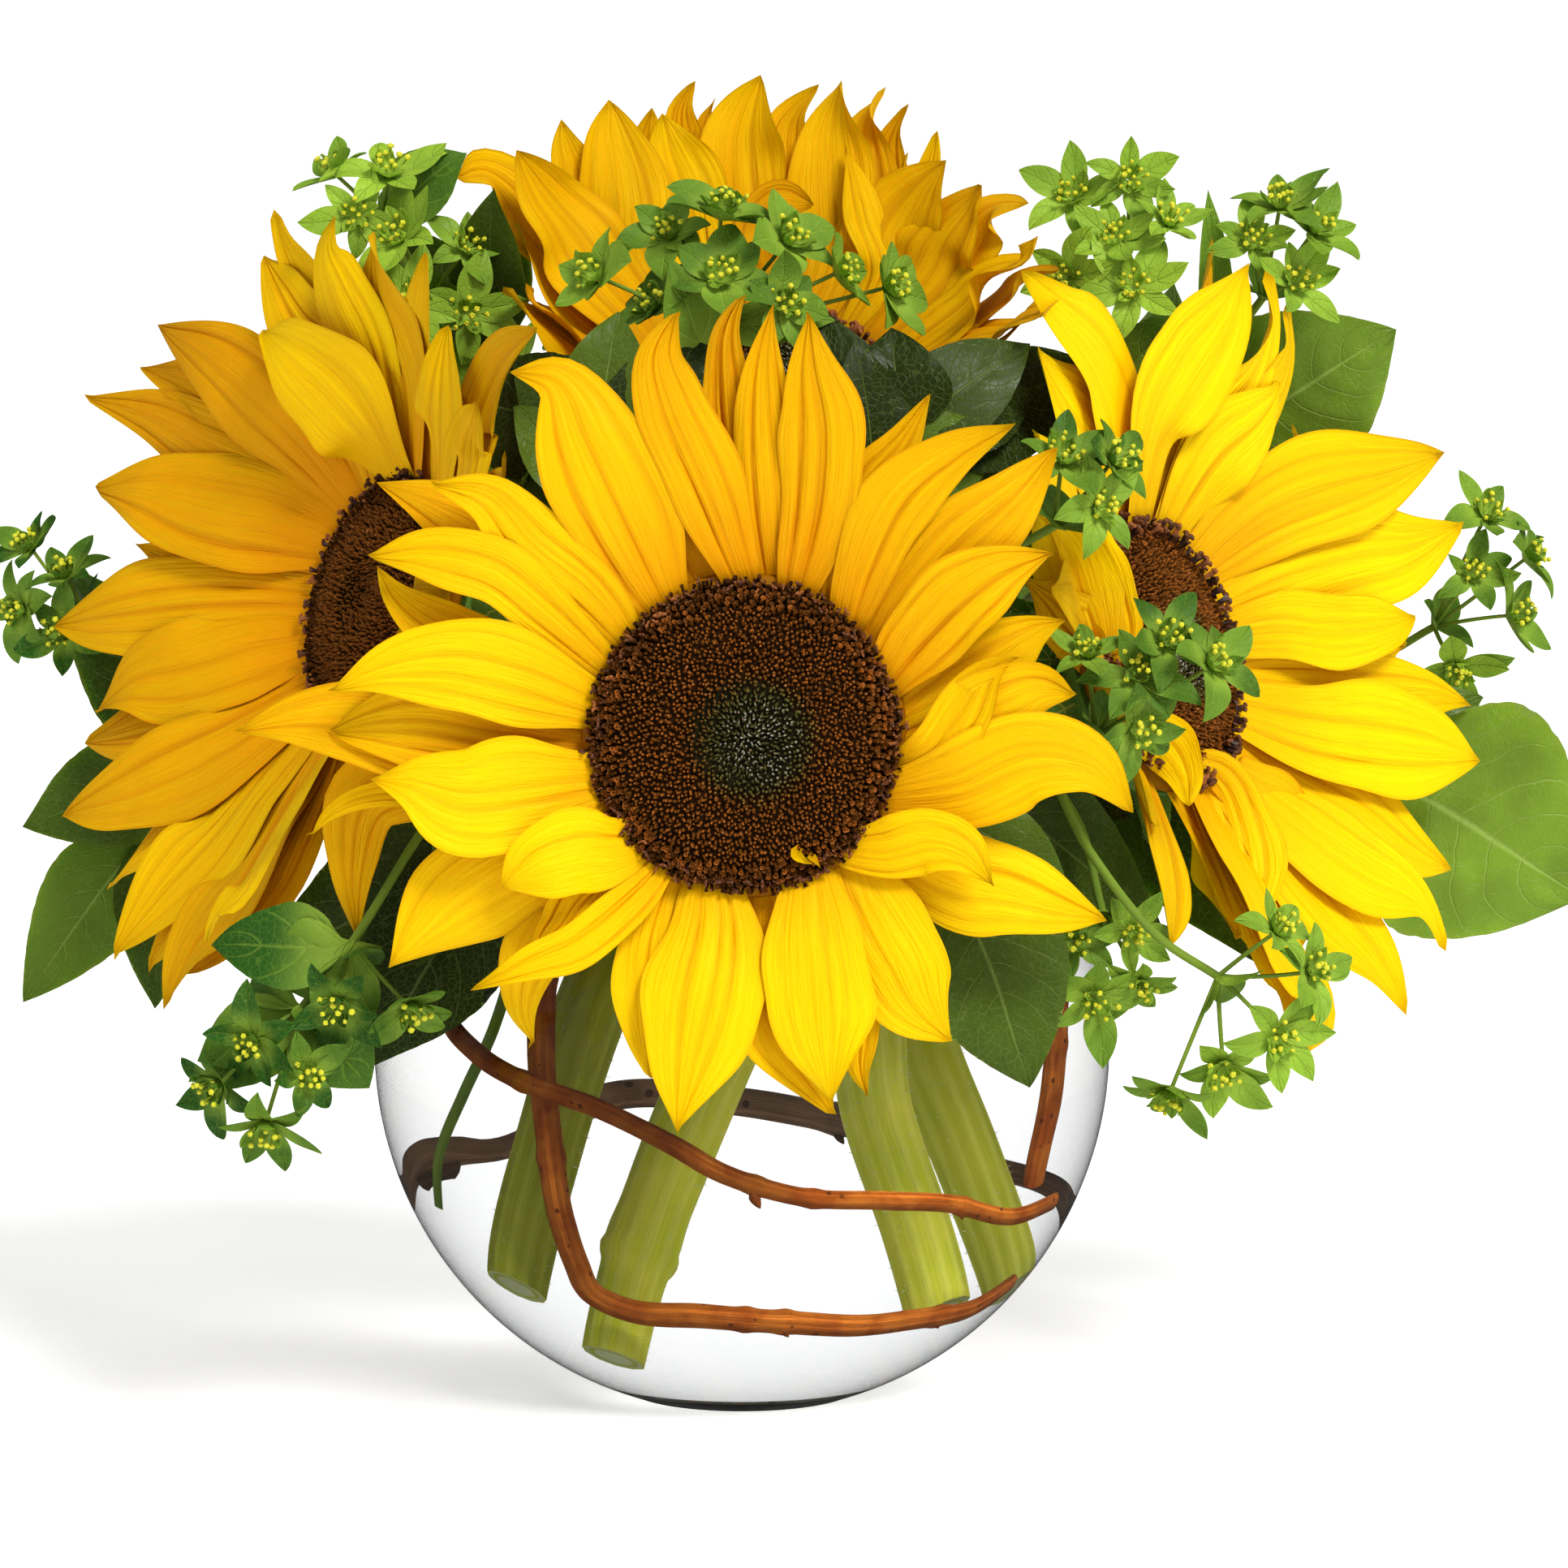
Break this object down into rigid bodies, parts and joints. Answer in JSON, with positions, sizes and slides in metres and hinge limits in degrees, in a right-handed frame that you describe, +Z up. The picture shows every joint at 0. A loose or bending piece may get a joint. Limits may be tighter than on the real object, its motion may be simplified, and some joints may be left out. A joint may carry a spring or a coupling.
{
  "type": "flower arrangement",
  "caption": "Cut sunflowers with willow twigs, bupleurum sprays and broad leaves, standing in water in a round clear glass bubble bowl.",
  "frame": {"origin": "middle of the bowl's flat underside", "axes": "+Z up, -Y towards the picture's viewer, +X to the viewer's right"},
  "size_m": [0.3403, 0.1947, 0.2743],
  "materials": {
    "glass": "polished",
    "water": "clear",
    "ray_petals": "matte",
    "disc_florets": "matte",
    "sunflower_green": "matte",
    "willow_bark": "satin",
    "bupleurum_green": "matte",
    "broad_leaf": "satin"
  },
  "bodies": {
    "root": {"glass_bowl": "glass", "water": "water", "sunflower_front_disc": "disc_florets", "sunflower_front_petals": "ray_petals", "sunflower_front_stem": "sunflower_green", "sunflower_left_disc": "disc_florets", "sunflower_left_petals": "ray_petals", "sunflower_left_stem": "sunflower_green", "sunflower_right_disc": "disc_florets", "sunflower_right_petals": "ray_petals", "sunflower_right_stem": "sunflower_green", "sunflower_top_disc": "disc_florets", "sunflower_top_petals": "ray_petals", "sunflower_top_stem": "sunflower_green", "willow_twig_back": "willow_bark", "willow_twig_front_high": "willow_bark", "willow_twig_front_low": "willow_bark", "willow_twig_right_upright": "willow_bark", "bupleurum_back_left": "bupleurum_green", "bupleurum_between_front_and_right": "bupleurum_green", "bupleurum_far_right_top": "bupleurum_green", "bupleurum_left": "bupleurum_green", "bupleurum_left_low": "bupleurum_green", "bupleurum_over_right_disc": "bupleurum_green", "bupleurum_right": "bupleurum_green", "bupleurum_right_inner_low": "bupleurum_green", "bupleurum_right_low": "bupleurum_green", "bupleurum_top_left": "bupleurum_green", "bupleurum_top_middle": "bupleurum_green", "bupleurum_top_right": "bupleurum_green", "leafy_stem_back_left": "broad_leaf", "leafy_stem_back_middle": "broad_leaf", "leafy_stem_back_right": "broad_leaf", "leafy_stem_left": "broad_leaf", "leafy_stem_left_high": "broad_leaf", "leafy_stem_left_low": "broad_leaf", "leafy_stem_middle_left": "broad_leaf", "leafy_stem_middle_right": "broad_leaf", "leafy_stem_right": "broad_leaf", "leafy_stem_right_high": "broad_leaf", "leafy_stem_right_low": "broad_leaf"}
  },
  "joints": []
}
